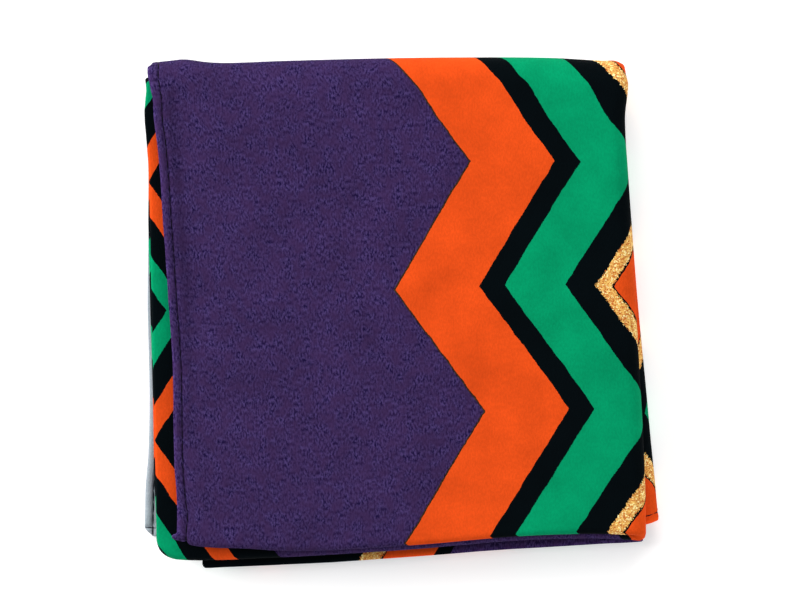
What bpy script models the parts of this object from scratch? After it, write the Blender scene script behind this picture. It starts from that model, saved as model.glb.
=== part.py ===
"""Furoshiki wrapping cloth, folded in quarters both ways and lying flat as a square packet.

The cloth is one sheet. It is laid out flat with its printed side up, and then folded four times:
its width in half, its height in half, its width again and its height again, which gives sixteen
layers. Each fold turns the whole stack made so far, so the later folds are fat rolls and the
earlier ones are sharp.

Metres, +Z up. The origin is under the middle of the packet, on the surface that it lies on.
+Y points to the rolled top edge and +X to the rolled side edge. The front hem is at -X.
"""

from bisect import bisect_right
from collections import namedtuple
from math import cos, pi, sin, sqrt

import bmesh
import bpy

MM = 0.001

# The cut cloth, and the sheet that stands for it.
CLOTH_WIDTH = 680.0 * MM
CLOTH_HEIGHT = 700.0 * MM
SHEET = 1.05 * MM

# What each fold does. axis: the direction that it halves. over: whether the far half comes over
# the near half, or goes under it. gap: the air left inside the fold. steps: flats round the roll.
Fold = namedtuple("Fold", "axis over gap steps")
FOLDS = (
    Fold("x", over=False, gap=0.35 * MM, steps=4),
    Fold("y", over=False, gap=0.35 * MM, steps=5),
    Fold("x", over=True, gap=0.40 * MM, steps=6),
    Fold("y", over=True, gap=0.50 * MM, steps=8),
)
TAKEN_UP = 0.8  # cloth length used by a roll, as a share of its outer skin's length
ROLL_DEPTH = {"x": 1.0, "y": 0.86}  # how far a roll bulges out, as a share of its radius

# Where the mesh has lines between two edges, as shares of the way from the open edge to the roll.
LINES = {
    "x": (0.0, 0.05, 0.14, 0.28, 0.60, 1.0),
    "y": (0.0, 0.06, 0.25, 0.50, 0.74, 0.90, 1.0),
}

# How far the left edges stand inwards of a square packet, in mm. Each row is read along the
# cloth's height, where 0 and 4 are its hems, 2 is its middle fold, and 1 and 3 are in the roll.
LEFT_EDGE_AT = (0.0, 0.5, 1.0, 1.1, 1.2, 1.5, 1.75)
LEFT_EDGE_AT += (2.0, 2.08, 2.16, 2.25, 2.36, 2.5, 2.65, 2.8, 2.89, 2.93, 2.96, 3.0)
LEFT_EDGE_AT += (3.2, 3.5, 3.7, 3.85, 3.9, 4.0)
LEFT_EDGES = {
    "left hem": (-3.4, -2.0, 0.2, 1.5, 3.0, 3.7, 3.3)
    + (2.3, 2.45, 1.8, 2.4, 3.2, 2.9, 2.8, 2.4, 0.9, -1.05, -1.1, -0.8)
    + (-1.0, -6.2, -8.6, -11.5, -13.3, -15.1),
    "middle fold": (8.9, 2.4, -2.7, -2.5, -1.6, -3.5, -5.0)
    + (-5.5, -5.55, -5.9, -5.5, -4.8, -4.15, -3.2, -1.7, -2.3, -2.45, -2.45, -2.2)
    + (-1.4, 0.5, 2.4, 4.3, 5.1, 6.6),
    "right hem": (-2.6, -1.2, 0.4, 2.0, 3.7, 4.2, 3.9)
    + (3.8, 4.15, 3.6, 4.1, 4.9, 4.6, 4.5, 4.1, 2.6, 1.6, 1.05, 0.7)
    + (0.8, 0.6, -1.2, -2.6, -3.1, -4.2),
}

# How far the bottom edges stand above a square packet, in mm, at these places across it in mm.
# The near layers come before the side roll and the far ones after it.
BOTTOM_EDGE_AT = (0.0, 4.4, 7.0, 15.0, 25.0, 45.0, 85.0, 120.0, 145.0, 163.0, 169.0)
BOTTOM_EDGES = {
    ("middle fold", "near"): (1.0, 0.2, -1.4, -2.35, -2.6, -3.6, -1.5, 1.5, 2.55, 2.15, 1.2),
    ("middle fold", "far"): (-6.7, -6.95, -7.05, -7.1, -6.6, -5.7, -3.2, -0.2, 0.75, 0.2, -0.3),
    ("lower hem", "near"): (-4.0, -4.15, -4.25, -4.6, -5.0, -5.0, -3.0, -1.0, 0.0, 0.5, 0.5),
    ("lower hem", "far"): (-7.4, -9.6, -10.05, -9.7, -9.2, -8.4, -5.75, -3.05, -1.65, -0.65, -0.4),
    ("upper hem", "near"): (1.3, 1.55, 1.65, 1.9, 2.1, 2.6, 4.0, 5.4, 5.8, 5.7, 7.3),
    ("upper hem", "far"): (3.0, 3.15, 3.25, 3.6, 3.9, 4.3, 5.0, 5.6, 5.9, 5.7, 7.3),
}
EDGE_CHANGES = (0.42, 0.62)  # from where to where round the side roll, as shares of its turn

# How far the top roll stands above a square packet, in mm, at these places across it in mm.
TOP_EDGE_AT = (-4.0, 6.5, 12.0, 20.0, 27.0, 46.0, 85.0, 118.0, 142.0, 161.0, 165.0, 167.0, 168.0)
TOP_EDGE = (-0.9, 0.5, 1.0, 0.0, -0.3, 0.4, 1.4, 1.7, 1.5, 0.5, 0.8, 1.2, 1.9)

# How far the stack leans to +X, in mm, at these shares of the way up it. The lower hem's layers
# lie inside the others in the lower half.
LEAN_AT = (0.0, 0.1, 0.22, 0.33, 0.50, 0.75, 0.88, 0.95, 0.975, 1.0)
LEAN = {
    "upper half": (3.5, 3.25, 2.45, 1.4, -0.2, -2.7, -3.95, -2.8, -3.6, -3.9),
    "lower half": (8.65, 7.4, 5.4, 3.7, 0.9, -2.3, -3.7, -3.5, -3.7, -3.9),
    "lower hem": (5.5, 4.4, 3.2, 2.0, 0.2, -2.4, -3.7, -3.5, -3.7, -3.9),
}

# How far each soft corner is drawn in, seen from above, to a round one or to a straight cut. The
# crossed folds are at the bottom left, under the front, and the hem corner lies under them.
Corner = namedtuple("Corner", "size cut")
CORNERS = {
    "top left": Corner(1.5 * MM, cut=True),
    "top right": Corner(1.0 * MM, cut=False),
    "crossed folds": Corner(8.0 * MM, cut=False),
    "hem corner": Corner(3.0 * MM, cut=True),
    "lower hem": Corner(1.6 * MM, cut=False),
}

LOFT_LOST = 0.05  # how much flatter the open corner lies than the rolls, as a share

PRINT_COLOUR = (0.060, 0.034, 0.150, 1.0)
PRINT_ROUGHNESS = 0.85


def read(table, places, place):
    """The value of a table row at a place, on a smooth curve through its values."""
    place = min(max(place, places[0]), places[-1])
    i = min(bisect_right(places, place) - 1, len(places) - 2)
    width = places[i + 1] - places[i]
    t = (place - places[i]) / width

    def slope(k):
        low, high = max(k - 1, 0), min(k + 1, len(places) - 1)
        return (table[high] - table[low]) / (places[high] - places[low])

    rise = table[i + 1] - table[i]
    start, end = slope(i) * width, slope(i + 1) * width
    return table[i] + t * (start + t * (3 * rise - 2 * start - end + t * (start + end - 2 * rise)))


def blend(a, b, share):
    return a + (b - a) * share


def ramp(value, start, end):
    """0 up to start, 1 from end on, and a smooth rise between."""
    t = min(max((value - start) / (end - start), 0.0), 1.0)
    return t * t * (3 - 2 * t)


class Roll:
    """The turn that one fold makes in the stack that the folds before it left."""

    def __init__(self, fold, length, height):
        self.over = fold.over
        self.gap = fold.gap
        self.steps = fold.steps
        self.height = height
        self.radius = height + fold.gap / 2
        self.depth = ROLL_DEPTH[fold.axis]
        self.taken = pi * TAKEN_UP * self.radius
        self.start = length / 2 - self.taken / 2
        self.end = self.start + self.taken
        self.folded_length = self.start + self.depth * self.radius
        self.folded_height = 2 * height + fold.gap

    def turned(self, along):
        """How far round the roll a point is, from 0 at its start to 1 at its end."""
        return min(max((along - self.start) / self.taken, 0.0), 1.0)

    def place(self, along, up):
        """Where a point of the stack goes, as its new distance along and its new height."""
        angle = pi * self.turned(along)
        radius = (self.height - up if self.over else up) + self.gap / 2
        flat = min(along, self.start) - max(along - self.end, 0.0)
        new_along = flat + self.depth * radius * sin(angle)
        if self.over:
            return new_along, self.height + self.gap / 2 - radius * cos(angle)
        return new_along, self.height + self.gap / 2 + radius * cos(angle)


def make_rolls():
    """The four rolls, in the order that they are folded."""
    size = {"x": CLOTH_WIDTH, "y": CLOTH_HEIGHT}
    height = SHEET
    rolls = []
    for fold in FOLDS:
        roll = Roll(fold, size[fold.axis], height)
        rolls.append(roll)
        size[fold.axis] = roll.folded_length
        height = roll.folded_height
    return rolls


def mesh_lines(first, second, length, shares):
    """Distances along the flat cloth where the mesh has a line, finer where a fold will be."""
    near = [share * second.start for share in shares]
    turn = [second.start + second.taken * k / second.steps for k in range(1, second.steps)]
    far_run = first.start - second.end
    far = [second.end + far_run * (1 - share) for share in reversed(shares)]
    middle = [first.start + first.taken * k / first.steps for k in range(1, first.steps)]
    half = near + turn + far
    return half + middle + [length - place for place in reversed(half)]


def draw_in(x, y, point, towards, corner):
    """Draws a square corner in from its point. towards: the signs of the way into the packet."""
    inside = ((x - point[0]) * towards[0], (y - point[1]) * towards[1])
    if max(inside) >= corner.size:
        return x, y
    a, b = (min(1 - distance / corner.size, 1.0) for distance in inside)
    if corner.cut:
        drawn_a, drawn_b = a * (1 - b / 2), b * (1 - a / 2)
    else:
        drawn_a, drawn_b = a * sqrt(1 - b * b / 2), b * sqrt(1 - a * a / 2)
    return (
        point[0] + towards[0] * corner.size * (1 - drawn_a),
        point[1] + towards[1] * corner.size * (1 - drawn_b),
    )


class Packet:
    """Folds points of the flat cloth into the packet."""

    def __init__(self):
        self.half_x, self.half_y, self.quarter_x, self.quarter_y = make_rolls()
        self.height = self.quarter_y.folded_height
        self.width = self.quarter_x.folded_length
        self.depth = self.quarter_y.folded_length

    def stack(self, u, v, up):
        """The point in a perfectly square packet, and how far it is round the two fat rolls."""
        x, z = self.half_x.place(u, up)
        y, z = self.half_y.place(v, z)
        turned_x = self.quarter_x.turned(x)
        x, z = self.quarter_x.place(x, z)
        turned_y = self.quarter_y.turned(y)
        y, z = self.quarter_y.place(y, z)
        return x, y, z, turned_x, turned_y

    def left_shift(self, u, v):
        """How far the left edge that this part of the cloth ends in stands inwards."""
        if u < self.quarter_x.end:
            edge = "left hem"
        elif u > CLOTH_WIDTH - self.quarter_x.end:
            edge = "right hem"
        else:
            edge = "middle fold"
        return read(LEFT_EDGES[edge], LEFT_EDGE_AT, 4 * v / CLOTH_HEIGHT) * MM

    def bottom_shift(self, v, x, turned_x):
        """How far the bottom edge that this part of the cloth ends in stands up."""
        if v < self.quarter_y.end:
            edge = "lower hem"
        elif v > CLOTH_HEIGHT - self.quarter_y.end:
            edge = "upper hem"
        else:
            edge = "middle fold"
        near, far = (
            read(BOTTOM_EDGES[edge, side], BOTTOM_EDGE_AT, x / MM) for side in ("near", "far")
        )
        return blend(near, far, ramp(turned_x, *EDGE_CHANGES)) * MM

    def corners(self, u, v, x, y, turned_x, turned_y):
        """Softens the corners of the packet, where two folds cross, and of the lowest layers."""
        top = self.depth + read(TOP_EDGE, TOP_EDGE_AT, x / MM) * MM
        left = self.left_shift(u, v)
        x, y = draw_in(x, y, (left, top), (1, -1), CORNERS["top left"])
        x, y = draw_in(x, y, (self.width, top), (-1, -1), CORNERS["top right"])
        if turned_x == 1 and turned_y == 1:
            middle = LEFT_EDGES["middle fold"][LEFT_EDGE_AT.index(2.0)]
            point = middle * MM, BOTTOM_EDGES["middle fold", "far"][0] * MM
            x, y = draw_in(x, y, point, (1, 1), CORNERS["crossed folds"])
        if v > CLOTH_HEIGHT - self.quarter_y.start and turned_x == 0:
            point = LEFT_EDGES["left hem"][-1] * MM, BOTTOM_EDGES["upper hem", "near"][0] * MM
            x, y = draw_in(x, y, point, (1, 1), CORNERS["hem corner"])
        if v < self.quarter_y.start and turned_x == 1:
            bottom = read(BOTTOM_EDGES["lower hem", "far"], BOTTOM_EDGE_AT, left / MM) * MM
            x, y = draw_in(x, y, (left, bottom), (1, 1), CORNERS["lower hem"])
        return x, y

    def place(self, u, v, up):
        """Where a point of the flat cloth lies in the folded packet."""
        x, y, z, turned_x, turned_y = self.stack(u, v, up)
        across = min(max(x / self.quarter_x.start, 0.0), 1.0)
        along = min(max(y / self.quarter_y.start, 0.0), 1.0)
        x += (1 - across) * self.left_shift(u, v)
        y += (1 - along) * self.bottom_shift(v, x, turned_x)
        y += along * read(TOP_EDGE, TOP_EDGE_AT, x / MM) * MM
        x, y = self.corners(u, v, x, y, turned_x, turned_y)
        share = y / self.depth
        below = LEAN["lower hem" if v < CLOTH_HEIGHT / 2 else "lower half"]
        lower, upper = (read(row, LEAN_AT, share) for row in (below, LEAN["upper half"]))
        x += blend(lower, upper, turned_y) * MM
        loft = 1 - LOFT_LOST * (1 - across) * (1 - along)
        return x, y, z * loft


def fold_cloth(packet):
    """The cloth as one folded solid: a flat slab whose points are taken through the folds."""
    across = mesh_lines(packet.half_x, packet.quarter_x, CLOTH_WIDTH, LINES["x"])
    along = mesh_lines(packet.half_y, packet.quarter_y, CLOTH_HEIGHT, LINES["y"])
    columns, rows = len(across) - 1, len(along) - 1
    slab = bmesh.new()
    bmesh.ops.create_grid(slab, x_segments=columns, y_segments=rows, size=0.5)
    for vert in slab.verts:
        column = round((vert.co.x + 0.5) * columns)
        row = round((vert.co.y + 0.5) * rows)
        vert.co = (across[column], along[row], 0.0)
    top = bmesh.ops.extrude_face_region(slab, geom=slab.faces[:])["geom"]
    for vert in (item for item in top if isinstance(item, bmesh.types.BMVert)):
        vert.co.z = SHEET
    bmesh.ops.recalc_face_normals(slab, faces=slab.faces[:])
    for vert in slab.verts:
        vert.co = packet.place(*vert.co)
    for axis in (0, 1):
        places = [vert.co[axis] for vert in slab.verts]
        middle = (min(places) + max(places)) / 2
        for vert in slab.verts:
            vert.co[axis] -= middle
    mesh = bpy.data.meshes.new("cloth")
    slab.to_mesh(mesh)
    slab.free()
    return mesh


def print_material():
    material = bpy.data.materials.new("printed cotton")
    material.use_nodes = True
    shader = material.node_tree.nodes["Principled BSDF"]
    shader.inputs["Base Color"].default_value = PRINT_COLOUR
    shader.inputs["Roughness"].default_value = PRINT_ROUGHNESS
    shader.inputs["Metallic"].default_value = 0.0
    return material


def main():
    for old in list(bpy.data.objects):
        bpy.data.objects.remove(old)
    mesh = fold_cloth(Packet())
    mesh.materials.append(print_material())
    cloth = bpy.data.objects.new("cloth", mesh)
    bpy.context.scene.collection.objects.link(cloth)


if __name__ == "__main__":
    main()
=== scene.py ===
"""Folded furoshiki wrapping cloth: its finished look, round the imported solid.

The cloth and the stitches of its hems are modelled flat, at their real size, and are then taken
through the same four folds as the solid: width in half, height in half, width again, height
again. On the flat cloth u runs along its width and v along its height, the printed side is up,
and the hem that ends at the front of the packet is at u = 0. All sizes are in metres.
"""

from bisect import bisect_right
from collections import namedtuple
from math import cos, exp, pi, radians, sin, sqrt

import bpy
from bpy.props import FloatProperty, FloatVectorProperty, IntProperty, PointerProperty
from mathutils import Matrix, Vector, noise


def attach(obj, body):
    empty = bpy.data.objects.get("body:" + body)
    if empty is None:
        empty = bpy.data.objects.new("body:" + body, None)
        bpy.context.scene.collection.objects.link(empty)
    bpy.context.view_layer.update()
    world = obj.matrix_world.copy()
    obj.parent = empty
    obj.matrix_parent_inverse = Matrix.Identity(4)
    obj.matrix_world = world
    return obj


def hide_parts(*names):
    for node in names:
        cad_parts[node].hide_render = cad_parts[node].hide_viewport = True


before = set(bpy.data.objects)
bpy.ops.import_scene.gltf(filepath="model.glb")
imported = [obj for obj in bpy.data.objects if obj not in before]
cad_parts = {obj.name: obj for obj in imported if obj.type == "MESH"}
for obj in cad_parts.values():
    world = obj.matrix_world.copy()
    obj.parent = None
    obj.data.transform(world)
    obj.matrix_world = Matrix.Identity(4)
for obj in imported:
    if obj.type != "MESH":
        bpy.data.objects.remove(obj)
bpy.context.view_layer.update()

bl_info = {
    "name": "Folded furoshiki",
    "version": (1, 0, 0),
    "blender": (4, 5, 0),
    "location": "View3D > Sidebar > Furoshiki",
    "description": "Adds a printed wrapping cloth, folded to a square packet",
    "category": "Add Mesh",
}

MM = 0.001

# ---------------------------------------------------------------- the folds, as in the solid

CLOTH_WIDTH = 680.0 * MM
CLOTH_HEIGHT = 700.0 * MM
LAYER = 1.05 * MM  # the room that one layer has in the packet
# The middle of the packet's outline, from the lower left corner of a square packet.
PACKET_MIDDLE = (85.15 * MM, 80.84 * MM)

# axis: the direction that a fold halves. over: whether the far half comes over the near half.
# gap: the air left inside it. steps: flats round the roll.
Fold = namedtuple("Fold", "axis over gap steps")
FOLDS = (
    Fold("x", over=False, gap=0.35 * MM, steps=8),
    Fold("y", over=False, gap=0.35 * MM, steps=10),
    Fold("x", over=True, gap=0.40 * MM, steps=14),
    Fold("y", over=True, gap=0.50 * MM, steps=18),
)
TAKEN_UP = 0.8  # cloth length used by a roll, as a share of its outer skin's length
ROLL_DEPTH = {"x": 1.0, "y": 0.86}  # how far a roll bulges out, as a share of its radius

# How far the left edges stand inwards of a square packet, in mm. Each row is read along the
# cloth's height, where 0 and 4 are its hems, 2 is its middle fold, and 1 and 3 are in the roll.
LEFT_EDGE_AT = (0.0, 0.5, 1.0, 1.1, 1.2, 1.5, 1.75)
LEFT_EDGE_AT += (2.0, 2.08, 2.16, 2.25, 2.36, 2.5, 2.65, 2.8, 2.89, 2.93, 2.96, 3.0)
LEFT_EDGE_AT += (3.2, 3.5, 3.7, 3.85, 3.9, 4.0)
LEFT_EDGES = {
    "left hem": (-3.4, -2.0, 0.2, 1.5, 3.0, 3.7, 3.3)
    + (2.3, 2.45, 1.8, 2.4, 3.2, 2.9, 2.8, 2.4, 0.9, -1.05, -1.1, -0.8)
    + (-1.0, -6.2, -8.6, -11.5, -13.3, -15.1),
    "middle fold": (8.9, 2.4, -2.7, -2.5, -1.6, -3.5, -5.0)
    + (-5.5, -5.55, -5.9, -5.5, -4.8, -4.15, -3.2, -1.7, -2.3, -2.45, -2.45, -2.2)
    + (-1.4, 0.5, 2.4, 4.3, 5.1, 6.6),
    "right hem": (-2.6, -1.2, 0.4, 2.0, 3.7, 4.2, 3.9)
    + (3.8, 4.15, 3.6, 4.1, 4.9, 4.6, 4.5, 4.1, 2.6, 1.6, 1.05, 0.7)
    + (0.8, 0.6, -1.2, -2.6, -3.1, -4.2),
}

# How far the bottom edges stand above a square packet, in mm, at these places across it in mm.
# The near layers come before the side roll and the far ones after it.
BOTTOM_EDGE_AT = (0.0, 4.4, 7.0, 15.0, 25.0, 45.0, 85.0, 120.0, 145.0, 163.0, 169.0)
BOTTOM_EDGES = {
    ("middle fold", "near"): (1.0, 0.2, -1.4, -2.35, -2.6, -3.6, -1.5, 1.5, 2.55, 2.15, 1.2),
    ("middle fold", "far"): (-6.7, -6.95, -7.05, -7.1, -6.6, -5.7, -3.2, -0.2, 0.75, 0.2, -0.3),
    ("lower hem", "near"): (-4.0, -4.15, -4.25, -4.6, -5.0, -5.0, -3.0, -1.0, 0.0, 0.5, 0.5),
    ("lower hem", "far"): (-7.4, -9.6, -10.05, -9.7, -9.2, -8.4, -5.75, -3.05, -1.65, -0.65, -0.4),
    ("upper hem", "near"): (1.3, 1.55, 1.65, 1.9, 2.1, 2.6, 4.0, 5.4, 5.8, 5.7, 7.3),
    ("upper hem", "far"): (3.0, 3.15, 3.25, 3.6, 3.9, 4.3, 5.0, 5.6, 5.9, 5.7, 7.3),
}
EDGE_CHANGES = (0.42, 0.62)  # the shares of the side roll's turn between which near becomes far

# How far the top roll stands above a square packet, in mm, at these places across it in mm.
TOP_EDGE_AT = (-4.0, 6.5, 12.0, 20.0, 27.0, 46.0, 85.0, 118.0, 142.0, 161.0, 165.0, 167.0, 168.0)
TOP_EDGE = (-0.9, 0.5, 1.0, 0.0, -0.3, 0.4, 1.4, 1.7, 1.5, 0.5, 0.8, 1.2, 1.9)

# How far the stack leans to +X, in mm, at these shares of the way up it.
LEAN_AT = (0.0, 0.1, 0.22, 0.33, 0.50, 0.75, 0.88, 0.95, 0.975, 1.0)
LEAN = {
    "upper half": (3.5, 3.25, 2.45, 1.4, -0.2, -2.7, -3.95, -2.8, -3.6, -3.9),
    "lower half": (8.65, 7.4, 5.4, 3.7, 0.9, -2.3, -3.7, -3.5, -3.7, -3.9),
    "lower hem": (5.5, 4.4, 3.2, 2.0, 0.2, -2.4, -3.7, -3.5, -3.7, -3.9),
}

# How far each soft corner is drawn in, seen from above, to a round one or to a straight cut.
Corner = namedtuple("Corner", "size cut")
CORNERS = {
    "top left": Corner(1.5 * MM, cut=True),
    "top right": Corner(1.0 * MM, cut=False),
    "crossed folds": Corner(8.0 * MM, cut=False),
    "hem corner": Corner(3.0 * MM, cut=True),
    "lower hem": Corner(1.6 * MM, cut=False),
}

LOFT_LOST = 0.05  # how much flatter the open corner lies than the rolls, as a share
FANNED = 0.75 * MM  # how far the layers bunch and part at the left edge
FANNED_BELOW = 0.7  # how much of that they do at the bottom edge
BUNCHES = 3  # how often they bunch or part, up the stack
WAVE_LENGTHS = (70 * MM, 85 * MM)  # of the packet's slow waves, across it and up it
WAVE_HEIGHT = 0.022  # how far they raise or sink a layer, as a share of its height
FADE = 3  # the power by which fanning and creases die out into the packet
LOWEST = 0.02 * MM  # no point comes nearer to the floor

# ---------------------------------------------------------------- what the folded cloth shows

# Half the thickness of a hem, in mm, at these distances from its edge in mm: where layers press
# on it, and where it lies free, on the front and at the lowest layer's corner. It is thin where
# the stitches draw it in, and the last value is the cloth inside the hem.
HEM_AT = (0.0, 0.25, 0.7, 1.3, 2.0, 2.5, 2.8, 3.0, 3.2, 3.5, 4.0, 4.7)
HEM_PRESSED = (0.14, 0.38, 0.49, 0.52, 0.48, 0.42, 0.30, 0.14, 0.24, 0.34, 0.40, 0.36)
HEM_FREE = (0.14, 0.48, 0.76, 0.88, 0.86, 0.72, 0.42, 0.08, 0.15, 0.25, 0.33, 0.36)
STITCH_LINE = 3.0 * MM  # how far the stitches are from a hem's edge
GROOVE_REACH = (0.4 * MM, 0.55 * MM)  # of the stitches' groove, towards the edge and inwards
CROSSING = 1.6  # how far in two hems cross, in distances of the stitch line
HEM_APART = 1.3  # from one hem's stretch of the noise to the next, so longer than a hem

# Where the left hem lies free: on the front, from this far below its bottom fold up to between
# these distances below the middle of the top roll, and on the reverse side from between these
# shares of the cloth's height. It thins out to the cloth inside it by this many hem widths.
FREE_BELOW = 6 * MM
FREE_UP_TO = (9 * MM, 2 * MM)
CORNER_FROM = (0.90, 0.94)
FREE_REACH = 3

# How much wider the left hem is than the others, in mm, or narrower, at these places up the
# cloth, as for the left edges: at the front's two ends and at the lowest layer's corner.
WIDER_AT = (1.97, 2.0, 2.03, 2.065, 2.09, 2.12, 2.9, 2.94, 2.96, 2.99, 3.03, 3.7, 3.85)
WIDER = (0.0, 0.3, 0.3, 0.65, 0.15, 0.0, 0.0, 0.5, 0.85, 0.8, 0.0, 0.0, -0.35)

# The front hem's lower end bulges out where it turns under: how far below the fold's end, over
# what length to each side, and how far out. The bulge dies out inwards between these distances,
# in distances of the stitch line.
HemEnd = namedtuple("HemEnd", "below length out")
HEM_END = HemEnd(below=1.9 * MM, length=1.5 * MM, out=1.9 * MM)
HEM_END_FADES = (0.4, 1.1)

# The ripples beside a hem. Their height varies by a share, and their phase by an angle, each
# over about this length of the hem.
RIPPLE_REACH = 5 * MM  # how far in from the edge they die out
RIPPLE_SLANT = 0.5  # how far along the hem they run, as a share of how far in
RIPPLE_HEIGHT_VARIES = (0.8, 16 * MM)
RIPPLE_PHASE_VARIES = (4.0, 20 * MM)

# How a hem's edge strays: in slow waves, and in quick ones of a share of their height.
STRAY_REACH = 30 * MM  # how far in the cloth goes with it
SLOW_STRAY = 30 * MM
QUICK_STRAY = 9 * MM
QUICK_SHARE = 0.4

# Where in the noise each uneven thing is read, so that no two are alike.
NOISE_AT = {
    "near hem": 1.0,
    "waves": 2.0,
    "ripple height": 3.0,
    "quick stray": 4.0,
    "far hem": 5.0,
    "ripple phase": 7.0,
}

# Soft troughs and ridges of the front, in mm from the packet's middle. They die out downwards
# through the layers. right, left: how far each reaches to that side of the way from its start to
# its end. height: below 0 for a trough.
Crease = namedtuple("Crease", "start end right left height")
CREASES = (
    Crease((-79.6, 73.0), (-77.0, 44.0), 2.6, 10.5, -1.9),
    Crease((-76.1, 31.5), (-74.1, 8.0), 2.6, 12.0, -1.8),
    Crease((-73.6, -1.5), (-72.2, -38.0), 3.0, 12.0, -1.35),
    Crease((-84.0, 36.0), (-74.0, 39.5), 1.6, 1.6, 0.3),
    Crease((-82.0, 12.0), (-73.5, 15.5), 1.4, 1.4, 0.25),
    Crease((-83.5, 58.5), (-76.0, 56.0), 1.3, 1.3, -0.25),
    Crease((-73.8, -61.5), (-70.6, -68.5), 2.6, 2.2, 1.1),
    Crease((-95.0, 92.0), (95.0, 92.0), 14.0, 14.0, -3.0),
    Crease((-66.0, 8.0), (-48.0, -36.0), 9.0, 9.0, 0.3),
    Crease((36.0, 60.0), (30.0, -30.0), 10.0, 10.0, -0.35),
    Crease((62.0, 30.0), (72.0, -50.0), 8.0, 8.0, 0.3),
)


def read(table, places, place):
    """The value of a table row at a place, on a smooth curve through its values."""
    place = min(max(place, places[0]), places[-1])
    i = min(bisect_right(places, place) - 1, len(places) - 2)
    width = places[i + 1] - places[i]
    t = (place - places[i]) / width

    def slope(k):
        low, high = max(k - 1, 0), min(k + 1, len(places) - 1)
        return (table[high] - table[low]) / (places[high] - places[low])

    rise = table[i + 1] - table[i]
    start, end = slope(i) * width, slope(i + 1) * width
    return table[i] + t * (start + t * (3 * rise - 2 * start - end + t * (start + end - 2 * rise)))


def blend(a, b, share):
    """From a at a share of 0 to b at 1."""
    return a + (b - a) * share


def ramp(value, start, end):
    """0 up to start, 1 from end on, and a smooth rise between."""
    t = min(max((value - start) / (end - start), 0.0), 1.0)
    return t * t * (3 - 2 * t)


def creased(place):
    """Height of the front's troughs and ridges at a place, in mm."""
    height = 0.0
    for crease in CREASES:
        way = Vector(crease.end) - Vector(crease.start)
        length = way.length
        way /= length
        from_start = place - Vector(crease.start)
        along = way.dot(from_start)
        aside = way.cross(from_start)
        past = max(-along, along - length, 0.0)
        reach = crease.left if aside > 0 else crease.right
        end_reach = (crease.left + crease.right) / 2
        height += crease.height * exp(-((aside / reach) ** 2) - (past / end_reach) ** 2)
    return height


class Roll:
    """The turn that one fold makes in the stack that the folds before it left."""

    def __init__(self, fold, length, height):
        self.over = fold.over
        self.gap = fold.gap
        self.steps = fold.steps
        self.height = height
        self.radius = height + fold.gap / 2
        self.depth = ROLL_DEPTH[fold.axis]
        self.taken = pi * TAKEN_UP * self.radius
        self.start = length / 2 - self.taken / 2
        self.end = self.start + self.taken
        self.folded_length = self.start + self.depth * self.radius
        self.folded_height = 2 * height + fold.gap

    def turned(self, along):
        """How far round the roll a point is, from 0 at its start to 1 at its end."""
        return min(max((along - self.start) / self.taken, 0.0), 1.0)

    def place(self, along, up):
        """Where a point of the stack goes, as its new distance along and its new height."""
        angle = pi * self.turned(along)
        radius = (self.height - up if self.over else up) + self.gap / 2
        flat = min(along, self.start) - max(along - self.end, 0.0)
        new_along = flat + self.depth * radius * sin(angle)
        if self.over:
            return new_along, self.height + self.gap / 2 - radius * cos(angle)
        return new_along, self.height + self.gap / 2 + radius * cos(angle)


def make_rolls():
    """The four rolls, in the order that they are folded."""
    size = {"x": CLOTH_WIDTH, "y": CLOTH_HEIGHT}
    height = LAYER
    rolls = []
    for fold in FOLDS:
        roll = Roll(fold, size[fold.axis], height)
        rolls.append(roll)
        size[fold.axis] = roll.folded_length
        height = roll.folded_height
    return rolls


def draw_in(x, y, point, towards, corner):
    """Draws a square corner in from its point. towards: the signs of the way into the packet."""
    inside = ((x - point[0]) * towards[0], (y - point[1]) * towards[1])
    if max(inside) >= corner.size:
        return x, y
    a, b = (min(1 - distance / corner.size, 1.0) for distance in inside)
    if corner.cut:
        drawn_a, drawn_b = a * (1 - b / 2), b * (1 - a / 2)
    else:
        drawn_a, drawn_b = a * sqrt(1 - b * b / 2), b * sqrt(1 - a * a / 2)
    return (
        point[0] + towards[0] * corner.size * (1 - drawn_a),
        point[1] + towards[1] * corner.size * (1 - drawn_b),
    )


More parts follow.
